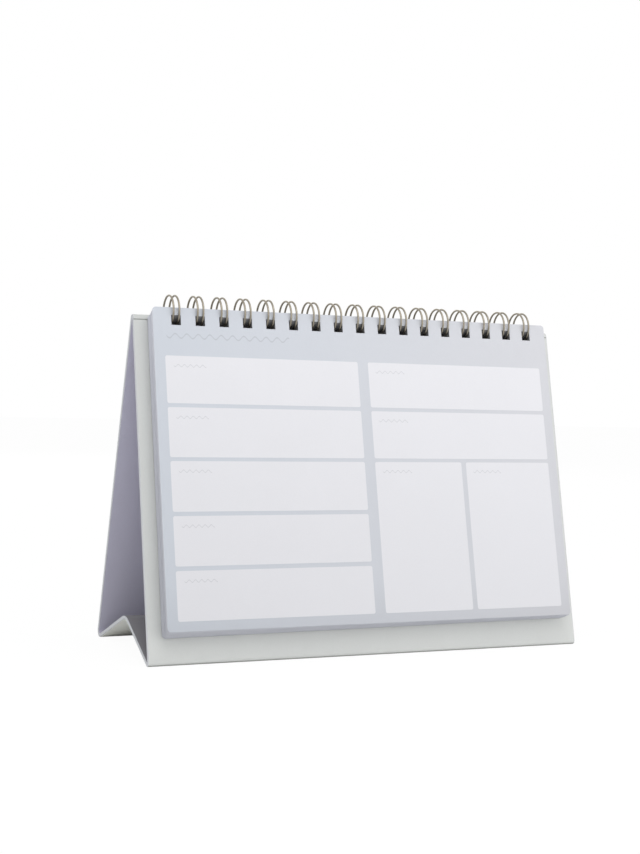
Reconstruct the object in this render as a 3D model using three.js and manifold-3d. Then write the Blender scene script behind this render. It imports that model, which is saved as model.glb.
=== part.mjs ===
// Desk planner with one week to a page. A block of punched sheets hangs on double wire
// loops at the top of a tent-shaped stand, and the stand is one strip of thick card.
// Millimetres, +Z up, +X to the reader's right, and the pages face -Y.
// The origin is the middle of the footprint, at table height.
import * as THREE from 'three';
import { mergeVertices } from 'three/addons/utils/BufferGeometryUtils.js';
import Module from 'manifold-3d';

const wasm = await Module();
wasm.setup();

// Card stand: Y values are counted from the middle of the ridge
const standWidth = 242;
const cardThickness = 1.8;
const ridgeHeight = 169;
const ridgeRadius = 2.2;
const frontFootY = -39.8;
const frontFootRadius = 1.9;
const rearFootY = 41.9;
const rearFootRadius = 3.5;
const footFlat = 0.12;
const gussetY = -1.9;
const gussetClearHeight = 16.4;
const gussetRadius = 12;
const scoreWidth = 0.9;
const scoreDepth = 0.35;
const scoreBelowRidge = 0.9;
const foldSegments = 7;

// Page block: rise is measured along the sheets, from the ridge fold's tangent line
const pageHeight = 160;
const pageRise = 3.75;
const pageCornerRadius = 1.8;
const blockThickness = 8.2;
const blockFanOut = 0.7;
const rearSheetDrop = 2.5;
const blockSteps = 5;
const cornerSegments = 4;

// Punching and wire binding: the row of holes follows from the sheets' width
const pageWidth = 227.4;
const loopPitch = 12.7;
const leastSideMargin = 8;
const holeWidth = 5;
const holeHeight = 5.1;
const ringRadius = 8.1;
const ringOut = 2;
const ringRise = 3.3;
const wireRadius = 0.5;
const wireSides = 6;
const legSpacing = 3;
const baseBendRadius = 1;
const seamAngle = THREE.MathUtils.degToRad(-14);
const seamGap = 1.4;
const legSteps = 17;
const bendSteps = 3;

// Clearances: the sheets to the stand, and the wire to the edge of a hole
const restGap = 0.3;
const wireClearance = 0.25;

// As many loops as the sheets have room for, with a margin at each side
const loopCount = Math.floor((pageWidth - 2 * leastSideMargin) / loopPitch) + 1;

// A fold is a circle that the strip of card is bent round. Its radius is that of the
// strip's middle, and it is negative where the strip bends the other way.
const halfCard = cardThickness / 2;
const folds = [
  { y: frontFootY, z: frontFootRadius - footFlat, radius: frontFootRadius - halfCard },
  { y: gussetY, z: gussetClearHeight - gussetRadius + halfCard, radius: -gussetRadius },
  { y: rearFootY, z: rearFootRadius - footFlat, radius: rearFootRadius - halfCard },
  { y: 0, z: ridgeHeight - ridgeRadius, radius: ridgeRadius - halfCard },
];
const [frontFoot, , rearFoot, ridge] = folds;

// Direction of the straight panel that runs from one fold to the next, tangent to both
function panelAngle(from, to) {
  const reach = Math.hypot(to.y - from.y, to.z - from.z);
  return Math.atan2(to.z - from.z, to.y - from.y) - Math.asin((to.radius - from.radius) / reach);
}

// Outline of the folded strip, counter-clockwise: the middle of the card moved outwards
// by offset, as arcs round the folds that straight panels join
function foldedOutline(path, offset) {
  folds.forEach((fold, i) => {
    const before = folds[(i + folds.length - 1) % folds.length];
    const after = folds[(i + 1) % folds.length];
    const radius = fold.radius + offset;
    const quarter = Math.sign(radius) * Math.PI / 2;
    const start = panelAngle(before, fold) - quarter;
    const end = panelAngle(fold, after) - quarter;
    path.absarc(fold.y, fold.z, Math.abs(radius), start, end, radius < 0);
  });
  path.closePath();
  return path;
}

// Local frame of a leaning face: along runs down the face, out leaves it
function faceFrame(angle, fold) {
  const along = new THREE.Vector2(Math.cos(angle), Math.sin(angle));
  const out = new THREE.Vector2(along.y, -along.x);
  const start = new THREE.Vector2(fold.y, fold.z).addScaledVector(out, ridgeRadius);
  return { along, out, start };
}
const frontFace = faceFrame(panelAngle(ridge, frontFoot), ridge);
const rearFace = faceFrame(panelAngle(rearFoot, ridge), ridge);
rearFace.along.negate();

// Point of a face's frame as (y, z), down the face and out from it
function onFace(face, down, out) {
  return face.start.clone().addScaledVector(face.along, down).addScaledVector(face.out, out);
}

// The ring that the loops lie on, and where a circle about its centre leaves the rear face
const ring = onFace(frontFace, -ringRise, ringOut);
function rearExitHeight(radius) {
  const toFace = rearFace.start.clone().sub(ring);
  const across = toFace.dot(rearFace.out);
  const down = Math.sqrt(radius ** 2 - across ** 2) - toFace.dot(rearFace.along);
  return onFace(rearFace, down, 0).y;
}

// The sheets slide down round the ring the nearer they are to the stand
const sheetDrop = (depth) => rearSheetDrop * (1 - (1 - depth) ** 2);
const blockFront = restGap + blockThickness;
const pageBottom = pageHeight - pageRise;
const frontmostY = onFace(frontFace, pageBottom, blockFront + blockFanOut).x;
const rearmostY = rearFootY + rearFootRadius;
const originY = (frontmostY + rearmostY) / 2;

// Hole rows: the edge that hangs on the wire is just inside the ring at the front sheet
const insideRing = ringRadius - wireRadius - wireClearance;
const holeTop = Math.sqrt(insideRing ** 2 - (blockFront - ringOut) ** 2) - ringRise;
const slotTop = rearExitHeight(insideRing);
const slotBottom = ring.y - ringRadius - wireRadius - wireClearance;
const slotReach = 2 * ridgeRadius + ringRadius;
const loopX = (i) => (i - (loopCount - 1) / 2) * loopPitch;
const loops = Array.from({ length: loopCount }, (_, i) => loopX(i));

// Solid of a closed geometry, and the geometry of a solid
function toSolid(geometry) {
  const bare = geometry.clone();
  bare.deleteAttribute('normal');
  bare.deleteAttribute('uv');
  const merged = mergeVertices(bare, 1e-4);
  return new wasm.Manifold(new wasm.Mesh({
    numProp: 3,
    vertProperties: Float32Array.from(merged.attributes.position.array),
    triVerts: Uint32Array.from(merged.index.array),
  }));
}

function toGeometry(solid) {
  const mesh = solid.getMesh();
  const geometry = new THREE.BufferGeometry();
  geometry.setAttribute('position', new THREE.BufferAttribute(mesh.vertProperties, 3));
  geometry.setIndex(new THREE.BufferAttribute(mesh.triVerts, 1));
  geometry.computeVertexNormals();
  return geometry;
}

function box(low, high) {
  const size = high.clone().sub(low);
  const centre = low.clone().add(high).multiplyScalar(0.5);
  return new THREE.BoxGeometry(size.x, size.y, size.z).translate(centre.x, centre.y, centre.z);
}

// A section drawn in (y, z), extruded over a length in X about the middle
function alongX(shape, length, segments) {
  const geometry = new THREE.ExtrudeGeometry(shape, {
    depth: length, bevelEnabled: false, curveSegments: segments,
  });
  geometry.translate(0, 0, -length / 2);
  geometry.applyMatrix4(new THREE.Matrix4().makeBasis(
    new THREE.Vector3(0, 1, 0), new THREE.Vector3(0, 0, 1), new THREE.Vector3(1, 0, 0)));
  return geometry;
}

// Score line: a shallow V along the face, where the card was creased for the ridge
function scoreLine(face) {
  const notch = [[-1, 1], [0, -1], [1, 1]].map(([side, level]) => onFace(
    face, scoreBelowRidge + side * scoreWidth / 2, level * scoreDepth));
  return alongX(new THREE.Shape(THREE.ShapeUtils.isClockWise(notch) ? notch.reverse() : notch),
    standWidth + 2, 1);
}

// Stand: one strip of card folded round the ridge, the two feet and the gusset that keeps
// the tent open, with a row of punched slots through both walls just under the ridge
function standGeometry() {
  const section = foldedOutline(new THREE.Shape(), halfCard);
  section.holes.push(foldedOutline(new THREE.Path(), -halfCard));
  let card = toSolid(alongX(section, standWidth, foldSegments));
  const below = new THREE.Vector3(-standWidth, -standWidth, -ridgeHeight);
  card = card.subtract(toSolid(box(below, new THREE.Vector3(standWidth, standWidth, 0))));
  for (const face of [frontFace, rearFace]) card = card.subtract(toSolid(scoreLine(face)));
  for (const x of loops) {
    const low = new THREE.Vector3(x - holeWidth / 2, -slotReach, slotBottom);
    const high = new THREE.Vector3(x + holeWidth / 2, slotReach, slotTop);
    card = card.subtract(toSolid(box(low, high)));
  }
  return toGeometry(card);
}

// Page outline in the plane of the sheet: X across, and the distance down the face in Y
function pageShape() {
  const [left, right] = [-pageWidth / 2, pageWidth / 2];
  const [top, bottom] = [-pageRise, pageBottom];
  const r = pageCornerRadius;
  const page = new THREE.Shape();
  page.absarc(right - r, top + r, r, -Math.PI / 2, 0);
  page.absarc(right - r, bottom - r, r, 0, Math.PI / 2);
  page.absarc(left + r, bottom - r, r, Math.PI / 2, Math.PI);
  page.absarc(left + r, top + r, r, Math.PI, 1.5 * Math.PI);
  page.closePath();
  return page;
}

function holeShape(x) {
  const [left, right] = [x - holeWidth / 2, x + holeWidth / 2];
  const [top, bottom] = [holeTop, holeTop + holeHeight];
  return new THREE.Shape([[left, top], [right, top], [right, bottom], [left, bottom]]
    .map(([across, down]) => new THREE.Vector2(across, down)));
}

// A shape of the page carried through the stack, from depth -over to 1 + over, where 0 is
// the front sheet and 1 the rear one. Deeper sheets sit lower on the stand's front face,
// and the stack fans out a little towards its foot.
function throughStack(shape, over) {
  const geometry = new THREE.ExtrudeGeometry(shape, {
    depth: 1 + 2 * over, steps: blockSteps, bevelEnabled: false, curveSegments: cornerSegments,
  });
  const position = geometry.attributes.position;
  for (let i = 0; i < position.count; i++) {
    const depth = position.getZ(i) - over;
    const down = position.getY(i);
    const fan = blockFanOut * (down + pageRise) / pageHeight;
    const out = restGap + (1 - depth) * (blockThickness + fan);
    const point = onFace(frontFace, down + sheetDrop(depth), out);
    position.setXYZ(i, position.getX(i), point.x, point.y);
  }
  return geometry;
}

// Page block: all the sheets as one solid, punched along the top
function pageBlockGeometry() {
  let block = toSolid(throughStack(pageShape(), 0));
  for (const x of loops) block = block.subtract(toSolid(throughStack(holeShape(x), 0.1)));
  return toGeometry(block);
}

// Wire binding, flat: one wire bent to and fro into hairpins, with the place along the ring
// in Y. A base run leads to each hairpin and the last one ends at the seam.
function flatWirePoints() {
  const half = legSpacing / 2;
  const length = 2 * Math.PI * ringRadius - seamGap - half;
  const points = [];
  const arc = (x, y, radius, start, end) => {
    for (let k = 0; k <= bendSteps; k++) {
      const a = start + (end - start) * k / bendSteps;
      points.push(new THREE.Vector2(x + radius * Math.cos(a), y + radius * Math.sin(a)));
    }
  };
  const leg = (x, from, to) => {
    for (let k = 1; k < legSteps; k++) {
      points.push(new THREE.Vector2(x, from + (to - from) * k / legSteps));
    }
  };
  for (const x of loops) {
    const bend = baseBendRadius;
    arc(x - half - bend, bend, bend, -Math.PI / 2, 0);
    leg(x - half, bend, length);
    arc(x, length, half, Math.PI, 0);
    leg(x + half, length, bend);
    arc(x + half + bend, bend, bend, Math.PI, 1.5 * Math.PI);
  }
  return points;
}

// The flat wire rolled onto the ring, as a curve with one station at each point.
// It starts at the seam behind the ridge, and goes over the top and down to the front.
class RolledWire extends THREE.Curve {
  constructor(points) {
    super();
    this.points = points.map((p) => {
      const a = seamAngle + p.y / ringRadius;
      return new THREE.Vector3(p.x, ring.x + ringRadius * Math.cos(a), ring.y + ringRadius * Math.sin(a));
    });
  }

  getPoint(t) {
    const last = this.points.length - 1;
    const place = THREE.MathUtils.clamp(t, 0, 1) * last;
    const i = Math.min(Math.floor(place), last - 1);
    return this.points[i].clone().lerp(this.points[i + 1], place - i);
  }

  getUtoTmapping(u) {
    return u;
  }
}

function wireGeometry() {
  const path = new RolledWire(flatWirePoints());
  const section = new THREE.Shape();
  section.absarc(0, 0, wireRadius, 0, 2 * Math.PI);
  return new THREE.ExtrudeGeometry(section, {
    steps: path.points.length - 1, extrudePath: path, curveSegments: wireSides / 2,
  });
}

// Each sub-part: name, geometry and finish
const planner = new THREE.Group();
planner.position.y = -originY;

function addPart(name, geometry, color, roughness, metalness) {
  const material = new THREE.MeshStandardMaterial({ color, roughness, metalness });
  const mesh = new THREE.Mesh(geometry, material);
  mesh.name = name;
  planner.add(mesh);
}

addPart('stand', standGeometry(), '#cfd0cf', 0.75, 0);
addPart('page_block', pageBlockGeometry(), '#d6d9e1', 0.8, 0);
addPart('wire_binding', wireGeometry(), '#8a8175', 0.35, 0.9);

export default planner;
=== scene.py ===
# %% [markdown]
# # Weekly desk planner on a folded card stand
# The real object has three pieces: a strip of thick card folded into a tent, a block of
# punched sheets that leans on the tent's front wall, and one long wire bent into double
# loops that joins them over the ridge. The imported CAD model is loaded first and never
# moved: everything below is built in its frame, in metres.

# %% Load the frame
import math

import bmesh
import bpy
import numpy as np
from mathutils import Matrix, Vector


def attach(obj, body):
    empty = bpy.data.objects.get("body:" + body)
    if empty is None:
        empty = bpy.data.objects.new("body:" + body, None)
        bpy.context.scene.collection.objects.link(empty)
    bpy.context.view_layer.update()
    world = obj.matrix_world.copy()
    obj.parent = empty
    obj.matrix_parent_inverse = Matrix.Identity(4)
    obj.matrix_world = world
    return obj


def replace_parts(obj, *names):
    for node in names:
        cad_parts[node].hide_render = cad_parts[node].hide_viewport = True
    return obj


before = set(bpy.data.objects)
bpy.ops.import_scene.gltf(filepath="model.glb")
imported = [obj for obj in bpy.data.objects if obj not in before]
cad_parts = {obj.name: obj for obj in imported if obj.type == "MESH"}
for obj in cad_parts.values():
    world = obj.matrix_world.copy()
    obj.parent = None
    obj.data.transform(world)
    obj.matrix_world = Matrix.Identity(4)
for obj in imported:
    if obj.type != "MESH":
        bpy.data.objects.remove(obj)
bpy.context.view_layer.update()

# %% [markdown]
# The camera is placed by three turns: yaw to the right, pitch downwards and a small roll.
# A matrix made of the camera's right, up and backward directions says all of it at once.
# The lens comes from a focal length in pixels, because Blender's 36 mm sensor belongs to
# the picture's long side.

# %% Camera
LONG_SIDE_PIXELS = 854
SENSOR_MM = 36
FOCAL_PIXELS = 1492.37
EYE = Vector((-0.342339, -0.715451, 0.144675))
YAW, PITCH, ROLL = (math.radians(a) for a in (24.4718, 2.2169, 1.8849))

forward = Vector((math.sin(YAW) * math.cos(PITCH), math.cos(YAW) * math.cos(PITCH),
                  -math.sin(PITCH)))
level_right = Vector((math.cos(YAW), -math.sin(YAW), 0))
level_up = level_right.cross(forward)
right = level_right * math.cos(ROLL) + level_up * math.sin(ROLL)
up = level_up * math.cos(ROLL) - level_right * math.sin(ROLL)

camera_data = bpy.data.cameras.new("camera")
camera_data.lens = FOCAL_PIXELS * SENSOR_MM / LONG_SIDE_PIXELS
camera_data.clip_start, camera_data.clip_end = 0.01, 50
camera = bpy.data.objects.new("camera", camera_data)
turned = Matrix((right, up, -forward)).transposed().to_4x4()
camera.matrix_world = Matrix.Translation(EYE) @ turned
bpy.context.scene.collection.objects.link(camera)
bpy.context.scene.camera = camera
print("lens", round(camera_data.lens, 2), "mm")

# %% [markdown]
# Sizes are written in millimetres, as a maker would read them off the object, and are
# turned into metres only when a mesh is made. Y is counted from the middle of the ridge,
# and one shift moves it to the frame's origin.

# %% Sizes in millimetres
MM = 0.001
RIDGE_MIDDLE_Y = 1.0264154

STAND_WIDTH = 242.0
CARD = 1.8
RIDGE_RADIUS = 2.2
FOLDS = {  # y, z of the fold's centre and the radius of the card's middle, negative inwards
    "front_foot": (-39.8, 1.78, 1.0),
    "gusset": (-1.9, 5.3, -12.0),
    "rear_foot": (41.9, 3.38, 2.6),
    "ridge": (0.0, 166.8, 1.3),
}

PAGE_WIDTH, PAGE_HEIGHT, PAGE_RISE = 227.4, 160.0, 3.75
PAGE_CORNER = 1.8
REST_GAP, BLOCK_DEPTH, FAN_OUT, REAR_DROP = 0.3, 8.2, 0.7, 2.5

LOOPS, PITCH_MM = 17, 12.7
HOLE_WIDTH, HOLE_HEIGHT = 5.0, 5.1
RING_RADIUS, RING_OUT, RING_RISE = 8.1, 2.0, 3.3
WIRE_RADIUS, WIRE_CLEARANCE = 0.5, 0.25
loop_x = (np.arange(LOOPS) - (LOOPS - 1) / 2) * PITCH_MM
hole_edges = np.sort(np.concatenate([loop_x - HOLE_WIDTH / 2, loop_x + HOLE_WIDTH / 2]))

# %% [markdown]
# Both sides of the tent lean, so points on them are easier to give as a distance down the
# face and a distance out from it. The card's straight panels are the common tangents of
# the circles it is folded round, and their directions follow from the circles alone.

# %% Directions of the leaning faces
def panel_angle(start, end):
    """Direction of the straight panel between two folds: the line of their centres, turned
    by the arc sine of the radii's difference over the centres' distance."""
    (y0, z0, r0), (y1, z1, r1) = FOLDS[start], FOLDS[end]
    return math.atan2(z1 - z0, y1 - y0) - math.asin((r1 - r0) / math.hypot(y1 - y0, z1 - z0))


def face_frame(angle, turn):
    """Unit vectors down a face and out of it, and the point where the ridge fold ends."""
    along = np.array([math.cos(angle), math.sin(angle)])
    out = np.array([along[1], -along[0]])
    start = np.array(FOLDS["ridge"][:2]) + RIDGE_RADIUS * out
    return along * turn, out, start


front_down, front_out, front_start = face_frame(panel_angle("ridge", "front_foot"), 1)
rear_down, rear_out, rear_start = face_frame(panel_angle("rear_foot", "ridge"), -1)
ring = front_start - RING_RISE * front_down + RING_OUT * front_out
inside_ring = RING_RADIUS - WIRE_RADIUS - WIRE_CLEARANCE
lean = math.degrees(math.atan2(-front_down[0], -front_down[1]))
print("front face leans", round(lean, 2), "degrees")

# %% [markdown]
# Every new piece goes through one helper. It takes the corner points, the faces, a place
# on the piece's own UV map for every face corner, and which finish each face has. Normals
# are then recalculated outwards, which is safe because each piece is a closed shell. The
# UV maps count decimetres, apart from the sheets' map, which counts metres.

# %% Mesh helper
DECIMETRE = 100  # millimetres


def make_piece(name, points, faces, corner_uv, finishes, finish_of_face, body, sharp=35):
    """A closed mesh from points in millimetres (Y from the ridge's middle)."""
    placed = (points + np.array([0, RIDGE_MIDDLE_Y, 0])) * MM
    mesh = bpy.data.meshes.new(name)
    mesh.from_pydata(placed.tolist(), [], faces)
    uv = mesh.uv_layers.new(name="sheet")
    uv.data.foreach_set("uv", np.concatenate(corner_uv).astype(np.float32).ravel())
    for finish in finishes:
        mesh.materials.append(finish)
    mesh.polygons.foreach_set("material_index", np.asarray(finish_of_face, np.int32))
    shell = bmesh.new()
    shell.from_mesh(mesh)
    bmesh.ops.recalc_face_normals(shell, faces=shell.faces)
    open_edges = sum(len(e.link_faces) != 2 for e in shell.edges)
    volume = shell.calc_volume()
    shell.to_mesh(mesh)
    shell.free()
    mesh.shade_smooth()
    mesh.set_sharp_from_angle(angle=math.radians(sharp))
    piece = bpy.data.objects.new(name, mesh)
    bpy.context.scene.collection.objects.link(piece)
    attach(piece, body)
    print(name, len(mesh.polygons), "faces,", open_edges, "open edges,",
          round(volume * 1e6, 2), "cm3")
    return piece


def grid_quads(rows, columns, row_count, column_count):
    """Corner numbers of grid cells, in a grid stored row by row that may close on itself."""
    r1, c1 = (rows + 1) % row_count, (columns + 1) % column_count
    return np.stack([rows * column_count + columns, rows * column_count + c1,
                     r1 * column_count + c1, r1 * column_count + columns], -1).reshape(-1, 4)


def travelled(*axes):
    """Length of a line from its start to each of its points, from its coordinates."""
    return np.append(0, np.cumsum(np.sqrt(sum(np.diff(axis) ** 2 for axis in axes))))

# %% [markdown]
# Finishes are node materials. A few helpers keep them short: one adds a node, one wires
# a sum or product, and one makes the fine bump and tone of paper from noise at three
# sizes. They read Object coordinates, in metres, so a scale of 2000 is half a millimetre.

# %% Node helpers
def new_finish(name):
    """An empty node material with its Principled shader."""
    material = bpy.data.materials.new(name)
    material.use_nodes = True
    tree = material.node_tree
    return material, tree, tree.nodes["Principled BSDF"]


def value_of(tree, socket, x):
    """Puts a number or another node's output into a socket."""
    if isinstance(x, bpy.types.NodeSocket):
        tree.links.new(x, socket)
    else:
        socket.default_value = x


def maths(tree, operation, a, b=0.0, c=None, clamp=False):
    """One Math node."""
    node = tree.nodes.new("ShaderNodeMath")
    node.operation, node.use_clamp = operation, clamp
    for socket, x in zip(node.inputs, (a, b, c)):
        if x is not None:
            value_of(tree, socket, x)
    return node.outputs[0]


def mix_colour(tree, share, a, b):
    """Blends two colours by a share from 0 to 1."""
    node = tree.nodes.new("ShaderNodeMix")
    node.data_type = "RGBA"
    value_of(tree, node.inputs["Factor"], share)
    value_of(tree, node.inputs["A"], a)
    value_of(tree, node.inputs["B"], b)
    return node.outputs["Result"]


def noise(tree, vector, scale, detail=3.0, stretch=(1, 1, 1)):
    """Noise from 0 to 1 on a vector, stretched by a Mapping node."""
    mapping = tree.nodes.new("ShaderNodeMapping")
    mapping.inputs["Scale"].default_value = stretch
    tree.links.new(vector, mapping.inputs["Vector"])
    node = tree.nodes.new("ShaderNodeTexNoise")
    node.inputs["Scale"].default_value = scale
    node.inputs["Detail"].default_value = detail
    tree.links.new(mapping.outputs[0], node.inputs["Vector"])
    return node.outputs["Fac"]


def tone(tree, share, low, high):
    """A grey multiplier that runs from low to high as share runs from 0 to 1."""
    return maths(tree, "MULTIPLY_ADD", share, high - low, low)


def times(tree, colour, factor):
    """A colour times a grey number."""
    node = tree.nodes.new("ShaderNodeVectorMath")
    node.operation = "SCALE"
    value_of(tree, node.inputs[0], colour)
    value_of(tree, node.inputs["Scale"], factor)
    return node.outputs[0]


def bump(tree, shader, height, distance):
    """Bump from a height from 0 to 1, whose full depth is distance in metres."""
    node = tree.nodes.new("ShaderNodeBump")
    node.inputs["Strength"].default_value = 1.0
    node.inputs["Distance"].default_value = distance
    tree.links.new(height, node.inputs["Height"])
    tree.links.new(node.outputs[0], shader.inputs["Normal"])


def coordinates(tree, kind):
    """Object or UV coordinates."""
    return tree.nodes.new("ShaderNodeTexCoord").outputs[kind]

# %% [markdown]
# ## Card of the stand
# The stand is thick grey board covered with matt off-white paper. The paper shows short
# fibres and a faint cloudiness, and it is a little less rough where it has been handled.
# The cut edges at the two ends show the board's layers, so they have a finish of their own,
# which follows the UV map: across the card's thickness and along the folded strip. The
# lining inside the tent is a cooler grey. The gusset's top is coloured dark grey as painted
# shade inside the tent, and its underside is much lighter than the outer paper as painted
# light bounced up from the desk. Painted shade also darkens the paper in the score crease
# under the ridge and on the undersides of the feet near the desk.

# %% Card finishes
def card_finish(name, colour, cloud, fibre_depth):
    """Matt covered board: cloudy tone at 30 mm, specks at 2 mm and fibres at 0.4 mm."""
    material, tree, shader = new_finish(name)
    place = coordinates(tree, "Object")
    clouds = noise(tree, place, 30, 2)
    specks = noise(tree, place, 520, 3)
    fibres = noise(tree, place, 2300, 4, (1.0, 0.45, 0.45))
    grey = maths(tree, "MULTIPLY", tone(tree, clouds, 1 - cloud, 1 + cloud),
                 tone(tree, fibres, 0.97, 1.03))
    grey = maths(tree, "MULTIPLY", grey, tone(tree, specks, 0.985, 1.015))
    tree.links.new(times(tree, colour, grey), shader.inputs["Base Color"])
    tree.links.new(tone(tree, specks, 0.68, 0.86), shader.inputs["Roughness"])
    shader.inputs["Specular IOR Level"].default_value = 0.35
    height = maths(tree, "MULTIPLY_ADD", specks, 0.6, maths(tree, "MULTIPLY", fibres, 0.4))
    bump(tree, shader, height, fibre_depth)
    return material


def cut_edge_finish():
    """The end of the board: fine layers across its thickness, with fibres drawn along it."""
    material, tree, shader = new_finish("card_cut_edge")
    place = coordinates(tree, "UV")
    layers = noise(tree, place, 60, 3, (28, 0.7, 1))
    grain = noise(tree, place, 90, 4)
    grey = maths(tree, "MULTIPLY", tone(tree, layers, 0.86, 1.10), tone(tree, grain, 0.96, 1.04))
    tree.links.new(times(tree, (0.62, 0.635, 0.66), grey), shader.inputs["Base Color"])
    shader.inputs["Roughness"].default_value = 0.85
    bump(tree, shader, layers, 0.00006)
    return material


card_outside = card_finish("card_outside", (0.675, 0.69, 0.675), 0.02, 0.00003)
card_inside = card_finish("card_inside", (0.64, 0.63, 0.745), 0.03, 0.00004)
# Painted shade: the gusset's top is coloured dark grey for the shade inside the tent.
gusset_top_painted_shade = card_finish("gusset_top_painted_shade", (0.27, 0.265, 0.275), 0.03, 0.00005)
# Painted light: the gusset's underside is a much lighter copy of the outer paper, for light bounced
# up from the desk.
gusset_underside_painted_light = card_finish("gusset_underside_painted_light", (0.93, 0.94, 0.89), 0.02, 0.00003)
# Painted shade: a dark copy of the paper for the score crease and the feet's undersides.
fold_painted_shade = card_finish("fold_painted_shade", (0.40, 0.41, 0.39), 0.05, 0.00006)
card_edge = cut_edge_finish()

# %% [markdown]
# ## Folded stand
# A box or a Solidify modifier on a bent sheet would do for a plain tent, but the slots and
# the soft cut edges ask for more control. So the card's own cross-section, a long thin
# rectangle with rounded corners, is carried along the folded line: over the ridge, round
# each foot, and over the gusset between them, which keeps the tent open. Grid cells are
# left out where a slot is punched, and walls close each slot.

# %% Line of the folded card
FACE_LENGTH = 169
FOLD_STEPS = {"front_foot": 20, "gusset": 28, "rear_foot": 24, "ridge": 24}
PLAIN_STATIONS = 12
SLOT_ZONE = 8  # marks below this belong to the slots and the score line
LOWER_START, LOWER_MARGIN, LOWER_STATIONS = 12, 4, 22
SCORE_AT, SCORE_HALF, SCORE_DEPTH = 0.9, 0.4, 0.35


def folded_line(arc_steps, panel_marks):
    """Stations along the closed strip, counter-clockwise seen from the right. On a fold the
    direction p turns evenly, the normal is (sin p, -cos p), and the point is the fold's
    centre plus its radius times the normal. Panels are straight between folds.
    Returns points, normals and marks, which are distances down a face or nan."""
    names = list(FOLDS)
    points, normals, marks, face_of = [], [], [], []
    for i, name in enumerate(names):
        before, after = names[i - 1], names[(i + 1) % len(names)]
        y, z, radius = FOLDS[name]
        start, end = panel_angle(before, name), panel_angle(name, after)
        whole_turn = math.copysign(2 * math.pi, radius)
        end = start + math.copysign(abs((end - start) % whole_turn), radius)
        p = np.linspace(start, end, arc_steps[name] + 1)
        normal = np.stack([np.sin(p), -np.cos(p)], -1)
        arc = np.array([y, z]) + radius * normal
        points.append(arc)
        normals.append(normal)
        marks.append(np.full(len(p), np.nan))
        face_of.append(np.full(len(p), -1))
        y2, z2, radius2 = FOLDS[after]
        far = np.array([y2, z2]) + radius2 * normal[-1]
        length = np.linalg.norm(far - arc[-1])
        from_start = np.linspace(0, length, PLAIN_STATIONS + 2)[1:-1]
        down = np.full(len(from_start), np.nan)
        if name == "ridge":
            from_start = down = panel_marks["front"]
        if name == "rear_foot":
            down = panel_marks["rear"][::-1]
            from_start = length - down
        points.append(arc[-1] + np.outer(from_start / length, far - arc[-1]))
        normals.append(np.repeat(normal[-1:], len(from_start), 0))
        marks.append(down)
        face_of.append(np.full(len(from_start), i))
    return (np.concatenate(points), np.concatenate(normals), np.concatenate(marks),
            np.concatenate(face_of))


def circle_leaves_face(radius):
    """Height at which a circle about the ring's centre leaves the rear face."""
    to_face = rear_start - ring
    down = math.sqrt(radius ** 2 - (to_face @ rear_out) ** 2) - to_face @ rear_down
    return (rear_start + down * rear_down)[1]


slot_top = circle_leaves_face(inside_ring)
slot_bottom = ring[1] - RING_RADIUS - WIRE_RADIUS - WIRE_CLEARANCE


def face_marks(start, down):
    """Stations down a face in their order: the score line, the slot's two ends and the
    rest. Returns them and the distance at which the slot starts."""
    top, bottom = ((start[1] - z) / -down[1] for z in (slot_top, slot_bottom))
    score = [SCORE_AT - SCORE_HALF, SCORE_AT, SCORE_AT + SCORE_HALF]
    lower = np.linspace(LOWER_START, FACE_LENGTH - LOWER_MARGIN, LOWER_STATIONS)
    return np.sort([top, *score, bottom, *lower]), top


front_marks, front_slot = face_marks(front_start, front_down)
rear_marks, rear_slot = face_marks(rear_start, rear_down)
in_order = all((np.diff(marks) > 0).all() for marks in (front_marks, rear_marks))
print("stations in order:", in_order)
line, line_normal, line_mark, line_face = folded_line(
    FOLD_STEPS, {"front": front_marks, "rear": rear_marks})
print(len(line), "stations round the strip; slots from", round(slot_bottom, 2),
      "to", round(slot_top, 2))

# %% Card carried along the line
END_ROUNDING, END_STEPS = 0.3, 4
CLOSE = 1e-6
OUTSIDE, INSIDE, CUT_EDGE, GUSSET_TOP_SHADE, GUSSET_UNDERSIDE_LIT, FOLD_SHADE = range(6)
FRONT_FACE, REAR_FACE = (list(FOLDS).index(name) for name in ("ridge", "rear_foot"))
FOOT_NORMAL, FOOT_HEIGHT = -0.45, 4  # where painted shade goes under a foot: facing down, and near the desk


def card_section(x_marks, half_width, half_card, rounding, steps):
    """The card's cross-section as (x, offset), counter-clockwise: the outer side from left
    to right, a rounded end, the inner side back, and the other rounded end."""
    turn = np.linspace(0, math.pi / 2, steps + 1)
    end_x = half_width - rounding + rounding * np.sin(turn)
    end_o = half_card - rounding + rounding * np.cos(turn)
    x = np.concatenate([x_marks, end_x, end_x[::-1], x_marks[::-1], -end_x, -end_x[::-1]])
    o = np.concatenate([np.full(len(x_marks), half_card), end_o, -end_o[::-1],
                        np.full(len(x_marks), -half_card), -end_o, end_o[::-1]])
    return x, o


def gusset_rows(rows):
    """True for the stations between the lowest points of the two feet."""
    number = np.arange(rows)
    far_off = 1000
    front, rear = (int(np.argmin(line[:, 1] + far_off * (line[:, 0] * side < 0)))
                   for side in (-1, 1))
    return (number >= front) & (number < rear)


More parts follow.
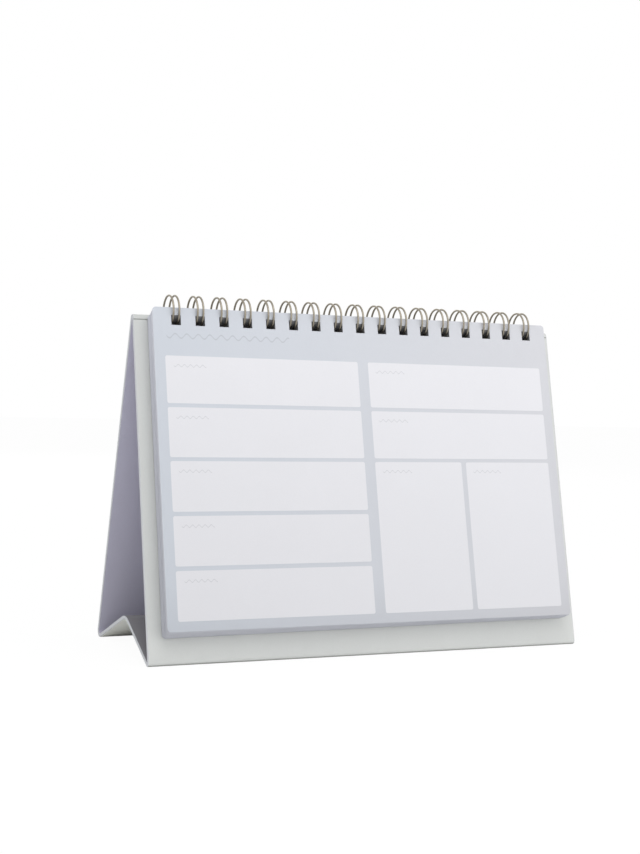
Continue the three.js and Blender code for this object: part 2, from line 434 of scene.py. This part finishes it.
def card_surface(x, offset):
    """Point = line + offset x normal. In the slot rows the inner side slides along the
    panel until it is level with the outer side, so the slots are cut level, and the score
    line lowers the outer side in a shallow V. Nothing goes below the desk."""
    outer = offset > CARD / 2 - CLOSE
    score = np.clip(1 - np.abs(line_mark - SCORE_AT) / SCORE_HALF, 0, 1)
    score = np.where(np.isnan(score), 0, score)
    offsets = offset - SCORE_DEPTH * score[:, None] * outer
    place = line[:, None] + offsets[..., None] * line_normal[:, None]
    for face, down in ((FRONT_FACE, front_down), (REAR_FACE, rear_down)):
        beside = (line_face == face) & (line_mark < SLOT_ZONE)
        level = line_normal[beside, 1] / down[1]
        place[beside] += (CARD / 2 - offset)[None, :, None] * level[:, None, None] * down
    place[..., 1] = np.maximum(place[..., 1], 0)
    across = np.broadcast_to(x[None, :, None], (*place.shape[:2], 1))
    return np.concatenate([across, place], -1).reshape(-1, 3)


def slot_cells(columns):
    """Which rows and columns of grid cells the slots take, and where the columns of the
    inner side start."""
    slot_start = np.where(line_face == FRONT_FACE, front_slot, rear_slot)
    beside = (line_face >= 0) & (line_mark > slot_start - CLOSE) & (line_mark < SLOT_ZONE)
    slot_row = np.zeros(len(line), bool)
    slot_row[:-1] = beside[:-1] & beside[1:] & (line_face[:-1] == line_face[1:])
    inner_start = len(hole_edges) + 2 * (END_STEPS + 1)
    slot_column = np.zeros(columns, bool)
    for start in (0, inner_start):
        slot_column[start:start + len(hole_edges) - 1:2] = True
    return slot_row, slot_column, inner_start


def card_uv(x, offset, row, column):
    """The cells' corners on the UV map: round the card's section, and along the strip."""
    around, along = travelled(x, offset), travelled(*line.T)
    u0, v0 = around[column], along[row]
    u1 = np.append(around, around[-1] + 0.5)[column + 1]
    v1 = np.append(along, along[-1] + 1)[row + 1]
    return np.stack([u0, v0, u1, v0, u1, v1, u0, v1], -1).reshape(-1, 2) / DECIMETRE


def card_finishes(offset, row, column):
    """Finish of each cell, from its side of the card and its place along the strip."""
    twice_middle = offset + np.append(offset[1:], offset[0])
    side = np.where(np.isclose(twice_middle, CARD), OUTSIDE,
                    np.where(np.isclose(twice_middle, -CARD), INSIDE, CUT_EDGE))[column]
    in_gusset = gusset_rows(len(line))[row]
    finish = np.where(in_gusset & (side == OUTSIDE), GUSSET_UNDERSIDE_LIT,
                      np.where(in_gusset & (side == INSIDE), GUSSET_TOP_SHADE, side))
    # Painted shade: the feet's undersides near the desk and the score crease get the dark fold
    # finish.
    on_foot = (line_face == -1) & (line_normal[:, 1] < FOOT_NORMAL) & (line[:, 1] < FOOT_HEIGHT)
    creased = (line_mark > SCORE_AT - SCORE_HALF - 0.01) & (line_mark < SCORE_AT + 0.01)
    covered = (finish == OUTSIDE) | (finish == GUSSET_UNDERSIDE_LIT)
    return np.where((on_foot | creased)[row] & covered, FOLD_SHADE, finish)


def slot_walls(slot_row, columns, inner_start):
    """Quads through the card round each slot: first its two sides, then its two ends."""
    def through(row, edge):
        """Corner numbers of one slot edge on the card's outer and inner side."""
        return row * columns + edge, row * columns + inner_start + len(hole_edges) - 1 - edge

    def wall(a, b):
        """Quad between two lines that run through the card."""
        return [a[0], b[0], b[1], a[1]]

    walls = []
    for first in np.flatnonzero(slot_row & ~np.roll(slot_row, 1)):
        last = first + 1
        while slot_row[last]:
            last += 1
        for left in range(0, len(hole_edges), 2):
            for r in range(first, last):
                walls += [wall(through(r, c), through(r + 1, c)) for c in (left, left + 1)]
            walls += [wall(through(r, left), through(r, left + 1)) for r in (first, last)]
    return walls


def stand_piece():
    """The card's grid with the slots' cells left out, and walls round each slot."""
    x, offset = card_section(hole_edges, STAND_WIDTH / 2, CARD / 2, END_ROUNDING, END_STEPS)
    slot_row, slot_column, inner_start = slot_cells(len(x))
    row, column = np.nonzero(~(slot_row[:, None] & slot_column))
    quads = grid_quads(row, column, len(line), len(x))
    walls = slot_walls(slot_row, len(x), inner_start)
    wall_uv = np.tile([[0, 0], [0, 1], [CARD, 1], [CARD, 0]], (len(walls), 1)) / DECIMETRE
    finish = np.append(card_finishes(offset, row, column), np.full(len(walls), CUT_EDGE))
    return make_piece("card_stand", card_surface(x, offset), quads.tolist() + walls,
                      [card_uv(x, offset, row, column), wall_uv],
                      [card_outside, card_inside, card_edge, gusset_top_painted_shade, gusset_underside_painted_light,
                       fold_painted_shade], finish, "stand")


stand_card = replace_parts(stand_piece(), "stand")

# %% [markdown]
# ## Printed sheets
# Each sheet is pale blue-grey with white fields for writing, and a wave of thin line marks
# where each field's heading would be. The print could be an image, but a picture has one
# sharpness only, so it is worked out from the UV map instead, which gives millimetres
# across the page and down from its top edge. A field is a rounded rectangle: the distance
# to it is the length of max(|p - centre| - half size + radius, 0), less the radius.

# %% Print and paper finishes
LEFT_COLUMN, RIGHT_COLUMN = (-108.2, -3.0), (2.9, 108.4)
NOTE_COLUMNS = ((2.9, 54.0), (56.8, 108.4))
ROW_EDGES = ((24.6, 48.6), (50.6, 75.5), (77.4, 102.3), (104.4, 128.8), (131.0, 155.2))
FIELD_CORNER = 1.0
fields = [(*LEFT_COLUMN, *rows) for rows in ROW_EDGES]
fields += [(*RIGHT_COLUMN, *rows) for rows in ROW_EDGES[:2]]
fields += [(*columns, ROW_EDGES[2][0], ROW_EDGES[4][1]) for columns in NOTE_COLUMNS]
WAVE_PITCH, WAVE_HEIGHT, WAVE_LINE = 3.2, 0.6, 0.26
FIELD_EDGE, WAVE_SHARE = 0.15, 0.5
FOOT_START, FOOT_FADE, FOOT_PAINTED_SHADE = 138, 22, -0.07
MARKS = [(f[0] + 4.2, f[2] + 5.0, 17.0, 1.0) for f in fields]  # x, y, length and size
MARKS += [(-107.0, 14.5, 66.0, 1.9)]


def page_distances(tree):
    """UV map back to millimetres: x from the page's middle, y down from its top edge."""
    split = tree.nodes.new("ShaderNodeSeparateXYZ")
    tree.links.new(coordinates(tree, "UV"), split.inputs[0])
    return (maths(tree, "MULTIPLY_ADD", split.outputs[0], 1000, -500),
            maths(tree, "MULTIPLY", split.outputs[1], 1000))


def field_share(tree, x, y, field):
    """1 inside one white field and 0 outside, with an edge as wide as FIELD_EDGE."""
    x0, x1, y0, y1 = field
    away = []
    for value, low, high in ((x, x0, x1), (y, y0, y1)):
        from_middle = maths(tree, "ABSOLUTE", maths(tree, "SUBTRACT", value, (low + high) / 2))
        past = maths(tree, "SUBTRACT", from_middle, (high - low) / 2 - FIELD_CORNER)
        away.append(maths(tree, "MAXIMUM", past, 0.0))
    square = maths(tree, "MULTIPLY", away[1], away[1])
    square = maths(tree, "MULTIPLY_ADD", away[0], away[0], square)
    distance = maths(tree, "SUBTRACT", maths(tree, "SQRT", square), FIELD_CORNER)
    return maths(tree, "MULTIPLY_ADD", distance, -1 / FIELD_EDGE, 0.5, clamp=True)


def wave_share(tree, x, y, mark):
    """1 on a thin wave: |y - height x sin(x)| less than half the line, between its ends."""
    x0, y0, length, size = mark
    phase = maths(tree, "SUBTRACT", x, x0)
    phase = maths(tree, "MULTIPLY", phase, 2 * math.pi / (WAVE_PITCH * size))
    rise = maths(tree, "MULTIPLY", maths(tree, "SINE", phase), WAVE_HEIGHT * size)
    off_line = maths(tree, "SUBTRACT", maths(tree, "SUBTRACT", y, y0), rise)
    off_line = maths(tree, "ABSOLUTE", off_line)
    on_line = maths(tree, "MULTIPLY_ADD", off_line, -3.0 / size, 0.5 + WAVE_LINE * 1.5,
                    clamp=True)
    off_end = maths(tree, "ABSOLUTE", maths(tree, "SUBTRACT", x, x0 + length / 2))
    return maths(tree, "MULTIPLY", on_line, maths(tree, "LESS_THAN", off_end, length / 2))


def largest(tree, shares):
    """The largest of several shares."""
    total = shares[0]
    for share in shares[1:]:
        total = maths(tree, "MAXIMUM", total, share)
    return total


def printed_page_finish():
    """Uncoated paper with flat printed tint, white fields and faint waves. The tint
    is bluer at the left. Painted shade darkens the foot margin and makes all of the paper
    a little greyer downwards, for light falling off from above."""
    material, tree, shader = new_finish("printed_page")
    x, y = page_distances(tree)
    white = largest(tree, [field_share(tree, x, y, field) for field in fields])
    line_share = largest(tree, [wave_share(tree, x, y, mark) for mark in MARKS])
    place = coordinates(tree, "Object")
    fibres = noise(tree, place, 1500, 4)
    clouds = noise(tree, place, 22, 2)
    across = maths(tree, "MULTIPLY_ADD", x, 1 / PAGE_WIDTH, 0.5, clamp=True)
    tint = mix_colour(tree, across, (0.635, 0.670, 0.730, 1), (0.672, 0.677, 0.714, 1))
    # Painted shade: the foot margin is darkened, for light falling off towards the bottom.
    foot = maths(tree, "MULTIPLY_ADD", y, 1 / FOOT_FADE, -FOOT_START / FOOT_FADE, clamp=True)
    tint = times(tree, tint, maths(tree, "MULTIPLY_ADD", foot, FOOT_PAINTED_SHADE, 1.0))
    colour = mix_colour(tree, white, tint, (0.815, 0.815, 0.85, 1))
    line_share = maths(tree, "MULTIPLY", line_share, WAVE_SHARE)
    colour = mix_colour(tree, line_share, colour, (0.36, 0.37, 0.40, 1))
    grey = maths(tree, "MULTIPLY", tone(tree, fibres, 0.98, 1.02), tone(tree, clouds, 0.985, 1.015))
    # Painted shade: all of the paper gets a little darker downwards, as if lit from above.
    grey = maths(tree, "MULTIPLY", grey, maths(tree, "MULTIPLY_ADD", y, -0.00055, 0.984))
    tree.links.new(times(tree, colour, grey), shader.inputs["Base Color"])
    tree.links.new(tone(tree, fibres, 0.72, 0.84), shader.inputs["Roughness"])
    shader.inputs["Specular IOR Level"].default_value = 0.3
    bump(tree, shader, fibres, 0.00002)
    return material


def sheet_edge_finish(name, colour, low):
    """The side of a stack of cut sheets: each sheet a little lighter or darker. The UV map
    gives the way through the stack first, so the noise is stretched along the edge. The tone
    also rises with height, as painted light that brightens the upper part of the stack."""
    material, tree, shader = new_finish(name)
    place = coordinates(tree, "UV")
    sheets = noise(tree, place, 400, 2, (16, 0.12, 1))
    drift = noise(tree, place, 40, 3, (1, 0.3, 1))
    grey = maths(tree, "MULTIPLY", tone(tree, sheets, low, 1.12), tone(tree, drift, 0.96, 1.04))
    height = tree.nodes.new("ShaderNodeSeparateXYZ")
    tree.links.new(coordinates(tree, "Object"), height.inputs[0])
    # Painted light: the tone rises with height, brighter towards the top of the stack.
    grey = maths(tree, "MULTIPLY", grey, maths(tree, "MULTIPLY_ADD", height.outputs[2], 1.5, 0.9))
    tree.links.new(times(tree, colour, grey), shader.inputs["Base Color"])
    shader.inputs["Roughness"].default_value = 0.88
    shader.inputs["Specular IOR Level"].default_value = 0.2
    bump(tree, shader, sheets, 0.00005)
    return material


def plain_page_finish():
    """The back of the last sheet: unprinted paper."""
    material, tree, shader = new_finish("plain_page")
    place = coordinates(tree, "Object")
    fibres = noise(tree, place, 1500, 4)
    clouds = noise(tree, place, 22, 2)
    grey = maths(tree, "MULTIPLY", tone(tree, fibres, 0.98, 1.02), tone(tree, clouds, 0.98, 1.02))
    tree.links.new(times(tree, (0.80, 0.80, 0.81), grey), shader.inputs["Base Color"])
    shader.inputs["Roughness"].default_value = 0.8
    bump(tree, shader, fibres, 0.00002)
    return material


page_print = printed_page_finish()
page_plain = plain_page_finish()
page_edges = sheet_edge_finish("sheet_edges", (0.58, 0.59, 0.64), 0.84)
# Painted shade: the punched holes' walls are a dark copy of the sheet edges, for the shade inside
# the holes.
hole_walls_painted_shade = sheet_edge_finish("punched_walls_painted_shade", (0.26, 0.26, 0.27), 0.8)
print(len(fields), "white fields,", len(page_print.node_tree.nodes), "nodes in the print")

# %% [markdown]
# ## Block of sheets
# The sheets hang on the wire, so the rear ones sit lower: they slide down round the ring,
# which shows as a step under the front sheet. The stack also fans out a little towards its
# foot. One grid gives the page with its rounded corners and punched holes, and two copies
# of it, at the front and the rear, are joined by walls in which every sheet is a small
# step of its own, moved sideways and up or down by a few hundredths of a millimetre.

# %% Page grid
SKEW = 0.5
CORNER_LIFT, RIPPLE = 0.22, 0.05


def page_grid():
    """x and distance down at the nodes of the page grid. The first and last columns follow
    the rounded corners: at a distance t from the top or bottom edge, less than the radius
    r, the side is at r - sqrt(r^2 - (r - t)^2) from the straight edge."""
    half, r = PAGE_WIDTH / 2, PAGE_CORNER
    corner = r * (1 - np.cos(np.linspace(0, math.pi / 2, 7)))
    hole_top = math.sqrt(inside_ring ** 2 - (REST_GAP + BLOCK_DEPTH - RING_OUT) ** 2) - RING_RISE
    top, bottom = -PAGE_RISE, PAGE_HEIGHT - PAGE_RISE
    down = np.concatenate([top + corner, [hole_top, hole_top + HOLE_HEIGHT],
                           np.linspace(9, bottom - 5, 30), bottom - corner[::-1]])
    beside_corner = half - r - 0.8
    x = np.concatenate([[-half, -beside_corner], hole_edges, [beside_corner, half]])
    grid_x, grid_down = np.meshgrid(x, down)
    t = np.minimum(np.minimum(down - top, bottom - down), r)
    inset = r - np.sqrt(np.maximum(r ** 2 - (r - t) ** 2, 0))
    grid_x[:, 0] += inset
    grid_x[:, -1] -= inset
    return grid_x, grid_down, int(np.argmin(abs(down - hole_top)))


def sheet_point(x, down, depth):
    """Depth runs from 0 at the front sheet to 1 at the rear. Out of the face: the gap plus
    (1 - depth) times the stack, fanned, rippled and with its lower corners raised. Down the
    face: the distance down plus the drop, 2.5 x (1 - (1 - depth)^2), more at the left foot
    than at the right, because the stack hangs a little askew."""
    low = (down + PAGE_RISE) / PAGE_HEIGHT
    askew = 1 - SKEW * low * (x / PAGE_WIDTH + 0.5)
    lift = CORNER_LIFT * low ** 2 * (np.abs(x) / (PAGE_WIDTH / 2)) ** 3
    lift = lift + RIPPLE * np.sin(x / 31 + low * 2.2) * low
    out = REST_GAP + (1 - depth) * (BLOCK_DEPTH + FAN_OUT * low + lift)
    along = down + REAR_DROP * askew * (1 - (1 - depth) ** 2)
    yz = front_start + along[..., None] * front_down + out[..., None] * front_out
    return np.concatenate([x[..., None], yz], -1)

# %% Sheets through the stack
SHEETS = 44
SHEET_SPREAD, SHEET_GAP = 0.07, 0.0008
HOLE_RINGS = 6
PRINTED, SHEET_EDGE, PLAIN, HOLE_WALL_SHADE = range(4)


def sheet_layers(seed):
    """Depths at which walls have a station, two to a sheet, and each sheet's small move
    across and down. The front sheet isn't moved."""
    draw = np.random.default_rng(seed)
    cuts = np.linspace(0, 1, SHEETS + 1)
    depth = np.stack([cuts[:-1] + SHEET_GAP, cuts[1:] - SHEET_GAP], -1).ravel()
    across = np.repeat(draw.normal(0, SHEET_SPREAD, SHEETS), 2)
    lengthwise = np.repeat(draw.normal(0, SHEET_SPREAD, SHEETS), 2)
    across[:2] = lengthwise[:2] = 0
    return depth, across, lengthwise


def loop_walls(base, loop, front_count, layers):
    """Quads from the front loop, through the layers stored after base, to the rear loop."""
    count = len(loop)
    between = base + np.arange(layers * count).reshape(layers, count)
    rings = np.vstack([loop, between, loop + front_count])
    following = np.roll(rings, -1, axis=1)
    return np.stack([rings[:-1], following[:-1], following[1:], rings[1:]], -1).reshape(-1, 4)


def block_piece():
    """Front and rear grids with the holes' cells left out, and walls round every opening."""
    grid_x, grid_down, hole_row = page_grid()
    rows, columns = grid_x.shape
    count = rows * columns
    front = sheet_point(grid_x, grid_down, np.zeros_like(grid_x)).reshape(-1, 3)
    rear = sheet_point(grid_x, grid_down, np.ones_like(grid_x)).reshape(-1, 3)
    punched = np.zeros((rows - 1, columns - 1), bool)
    punched[hole_row, 2:columns - 2:2] = True
    cells = grid_quads(*np.nonzero(~punched), rows, columns)
    uv_at = np.stack([grid_x.ravel() / 1000 + 0.5, (grid_down.ravel() + PAGE_RISE) / 1000], -1)

    number = np.arange(count).reshape(rows, columns)
    outline = np.concatenate([number[0, :-1], number[:-1, -1],
                              number[-1, :0:-1], number[:0:-1, 0]])
    holes = [np.array([number[hole_row, c], number[hole_row, c + 1],
                       number[hole_row + 1, c + 1], number[hole_row + 1, c]])
             for c in range(2, columns - 2, 2)]

    depth, across, lengthwise = sheet_layers(seed=52)
    flat_x, flat_down = grid_x.ravel(), grid_down.ravel()
    stored, walls, wall_uv, wall_finish = [front, rear], [], [], []
    base = 2 * count

    def add_walls(loop, depths, dx, dd, finish):
        """Walls round one loop of grid points, with its stations moved by dx and dd."""
        nonlocal base
        x = flat_x[loop][None] + dx[:, None]
        down = flat_down[loop][None] + dd[:, None]
        deep = np.broadcast_to(depths[:, None], x.shape)
        stored.append(sheet_point(x, down, deep).reshape(-1, 3))
        quads = loop_walls(base, loop, count, len(depths))
        length = travelled(flat_x[loop], flat_down[loop]) / 1000
        through = np.concatenate([[0], depths, [1]]) * BLOCK_DEPTH / 1000
        u0, v0 = np.meshgrid(through[:-1], length, indexing="ij")
        u1, v1 = np.meshgrid(through[1:], np.append(length[1:], length[-1] + 0.001), indexing="ij")
        wall_uv.append(np.stack([u0, v0, u0, v1, u1, v1, u1, v0], -1).reshape(-1, 2))
        walls.append(quads)
        wall_finish.append(np.full(len(quads), finish))
        base += len(depths) * len(loop)

    add_walls(outline, depth, across, lengthwise, SHEET_EDGE)
    inner, unmoved = np.linspace(0, 1, HOLE_RINGS + 2)[1:-1], np.zeros(HOLE_RINGS)
    for hole in holes:
        add_walls(hole, inner, unmoved, unmoved, HOLE_WALL_SHADE)
    faces = np.concatenate([cells, cells + count, *walls])
    uv = [uv_at[cells].reshape(-1, 2), uv_at[cells].reshape(-1, 2), *wall_uv]
    finish = np.concatenate([np.full(len(cells), PRINTED), np.full(len(cells), PLAIN),
                             *wall_finish])
    return make_piece("sheet_block", np.concatenate(stored), faces.tolist(), uv,
                      [page_print, page_edges, page_plain, hole_walls_painted_shade], finish,
                      "pages")


sheet_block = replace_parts(block_piece(), "page_block")

# %% [markdown]
# ## Wire binding
# One wire is bent to and fro into hairpins and then rolled into a tube, so that every
# hairpin becomes a double loop. The flat pattern is easy to write down, and rolling it is
# one line: the distance along a hairpin becomes an angle round the ring. A tube swept
# along the points needs a direction to measure its own angle from, and the ring's outward
# direction is always square to the wire, so it serves at every station.

# %% Wire finish
def wire_finish():
    """Steel wire with a thin bronze-grey coat whose tone varies in broad patches."""
    material, tree, shader = new_finish("binding_wire")
    place = coordinates(tree, "Object")
    fine = noise(tree, place, 3500, 3)
    broad = noise(tree, place, 260, 2)
    colour = mix_colour(tree, broad, (0.26, 0.23, 0.18, 1), (0.37, 0.335, 0.275, 1))
    tree.links.new(times(tree, colour, tone(tree, fine, 0.9, 1.1)), shader.inputs["Base Color"])
    shader.inputs["Metallic"].default_value = 1.0
    tree.links.new(tone(tree, fine, 0.26, 0.42), shader.inputs["Roughness"])
    bump(tree, shader, fine, 0.00001)
    return material


# %% Rolled wire
LEG_SPACING, BASE_BEND = 3.0, 1.0
SEAM_ANGLE, SEAM_GAP = math.radians(-14), 1.4
WIRE_SIDES = 12


def flat_wire(bend_steps=6, leg_steps=30):
    """The hairpin pattern as x and the place along the ring: a quarter bend up from the base
    run, a leg, a half turn at the tip, a leg back and a quarter bend down."""
    half = LEG_SPACING / 2
    length = 2 * math.pi * RING_RADIUS - SEAM_GAP - half
    leg = np.linspace(BASE_BEND, length, leg_steps + 1)[1:-1]
    quarter = np.linspace(0, math.pi / 2, bend_steps + 1)
    turn = np.linspace(math.pi, 0, 2 * bend_steps + 1)
    x = np.concatenate([-half - BASE_BEND + BASE_BEND * np.sin(quarter), np.full(len(leg), -half),
                        half * np.cos(turn), np.full(len(leg), half),
                        half + BASE_BEND - BASE_BEND * np.cos(quarter)])
    y = np.concatenate([BASE_BEND - BASE_BEND * np.cos(quarter), leg, length + half * np.sin(turn),
                        leg[::-1], BASE_BEND - BASE_BEND * np.sin(quarter)])
    return (loop_x[:, None] + x[None]).ravel(), np.tile(y, LOOPS)


def wire_piece():
    """Point = wire + radius x (cos t x outward + sin t x sideways), sideways being the wire's
    direction crossed with outward. Both ends are closed by a flat cap. The UV map runs
    round the wire and along it."""
    x, y = flat_wire()
    angle = SEAM_ANGLE + y / RING_RADIUS
    outward = np.stack([np.zeros_like(x), np.cos(angle), np.sin(angle)], -1)
    centre = np.stack([x, ring[0] + RING_RADIUS * np.cos(angle),
                       ring[1] + RING_RADIUS * np.sin(angle)], -1)
    tangent = np.gradient(centre, axis=0)
    tangent /= np.linalg.norm(tangent, axis=1, keepdims=True)
    outward -= (outward * tangent).sum(1, keepdims=True) * tangent
    outward /= np.linalg.norm(outward, axis=1, keepdims=True)
    sideways = np.cross(tangent, outward)
    t = np.arange(WIRE_SIDES) * 2 * math.pi / WIRE_SIDES
    points = centre[:, None] + WIRE_RADIUS * (
        np.cos(t)[None, :, None] * outward[:, None]
        + np.sin(t)[None, :, None] * sideways[:, None])
    stations = len(x)
    row, column = np.indices((stations - 1, WIRE_SIDES)).reshape(2, -1)
    faces = grid_quads(row, column, stations, WIRE_SIDES).tolist()
    last = (stations - 1) * WIRE_SIDES
    faces += [list(range(WIRE_SIDES))[::-1], list(range(last, last + WIRE_SIDES))]
    run = travelled(*centre.T)
    side = 2 * math.pi * WIRE_RADIUS / WIRE_SIDES
    u0, v0, v1 = column * side, run[row], run[row + 1]
    tube_uv = np.stack([u0, v0, u0 + side, v0, u0 + side, v1, u0, v1], -1).reshape(-1, 2)
    cap_uv = WIRE_RADIUS * np.stack([np.cos(t), np.sin(t)], -1)
    uv = [tube_uv / DECIMETRE, cap_uv[::-1] / DECIMETRE, cap_uv / DECIMETRE]
    return make_piece("double_loops", points.reshape(-1, 3), faces, uv, [wire_finish()],
                      np.zeros(len(faces)), "stand", sharp=50)


double_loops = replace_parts(wire_piece(), "wire_binding")

# %% [markdown]
# ## Floor, light and background
# The planner stands on a plain white floor under a large soft light, as in a light tent.
# The world gives an even light from all round. For rays that come straight from the camera,
# or that metal reflects, it is plain white, and so is most of the floor, which still keeps
# a faint part of its shadow.

# %% Floor
FLOOR_WHITE, FLOOR_SHARE = 1.02, 0.93  # a little over 1 makes up for the lit part's grey


def floor_finish():
    """White floor: camera rays see mostly white and partly the lit, shadowed surface."""
    material, tree, shader = new_finish("floor")
    shader.inputs["Base Color"].default_value = (0.93, 0.93, 0.93, 1)
    shader.inputs["Roughness"].default_value = 0.9
    shader.inputs["Specular IOR Level"].default_value = 0.0
    white = tree.nodes.new("ShaderNodeEmission")
    white.inputs["Color"].default_value = (1, 1, 1, 1)
    white.inputs["Strength"].default_value = FLOOR_WHITE
    path = tree.nodes.new("ShaderNodeLightPath")
    blend = tree.nodes.new("ShaderNodeMixShader")
    share = maths(tree, "MULTIPLY", path.outputs["Is Camera Ray"], FLOOR_SHARE)
    tree.links.new(share, blend.inputs[0])
    tree.links.new(shader.outputs[0], blend.inputs[1])
    tree.links.new(white.outputs[0], blend.inputs[2])
    tree.links.new(blend.outputs[0], tree.nodes["Material Output"].inputs["Surface"])
    return material


FLOOR_HALF = 3.0
floor_mesh = bpy.data.meshes.new("floor")
floor_mesh.from_pydata([(-FLOOR_HALF, -FLOOR_HALF, 0), (FLOOR_HALF, -FLOOR_HALF, 0),
                        (FLOOR_HALF, FLOOR_HALF, 0), (-FLOOR_HALF, FLOOR_HALF, 0)],
                       [], [(0, 1, 2, 3)])
floor_mesh.materials.append(floor_finish())
floor = bpy.data.objects.new("floor", floor_mesh)
bpy.context.scene.collection.objects.link(floor)

# %% World and lamps
WORLD_LIGHT = 0.60
world = bpy.data.worlds.new("light_tent")
bpy.context.scene.world = world
world.use_nodes = True
tree = world.node_tree
background = tree.nodes["Background"]
path = tree.nodes.new("ShaderNodeLightPath")
mirrored = maths(tree, "MAXIMUM", path.outputs["Is Glossy Ray"],
                 path.outputs["Is Transmission Ray"])
seen = maths(tree, "MAXIMUM", path.outputs["Is Camera Ray"], mirrored)
background.inputs["Color"].default_value = (1, 1, 1, 1)
strength = maths(tree, "MULTIPLY_ADD", seen, 1 - WORLD_LIGHT, WORLD_LIGHT)
tree.links.new(strength, background.inputs["Strength"])


def soft_lamp(name, place, aim, size, watts):
    """A square area lamp turned towards a point."""
    data = bpy.data.lights.new(name, "AREA")
    data.shape, data.size, data.energy = "SQUARE", size, watts
    lamp = bpy.data.objects.new(name, data)
    lamp.location = place
    lamp.rotation_mode = "QUATERNION"
    lamp.rotation_quaternion = (Vector(aim) - Vector(place)).to_track_quat("-Z", "Y")
    bpy.context.scene.collection.objects.link(lamp)


soft_lamp("front", (0.62, -1.30, 0.42), (0, 0, 0.09), 1.2, 3.1)
soft_lamp("right", (0.45, -0.42, 0.12), (0.10, 0, 0.05), 0.35, 0.43)
soft_lamp("back", (0.35, 1.30, 0.75), (0, 0, 0.09), 1.0, 3.0)
soft_lamp("left", (-1.20, 0.05, 0.14), (0, 0, 0.04), 0.7, 2.7)
soft_lamp("above", (-0.05, -0.40, 0.70), (0, 0, 0.16), 0.5, 1.5)
bpy.context.scene.view_settings.view_transform = "Standard"
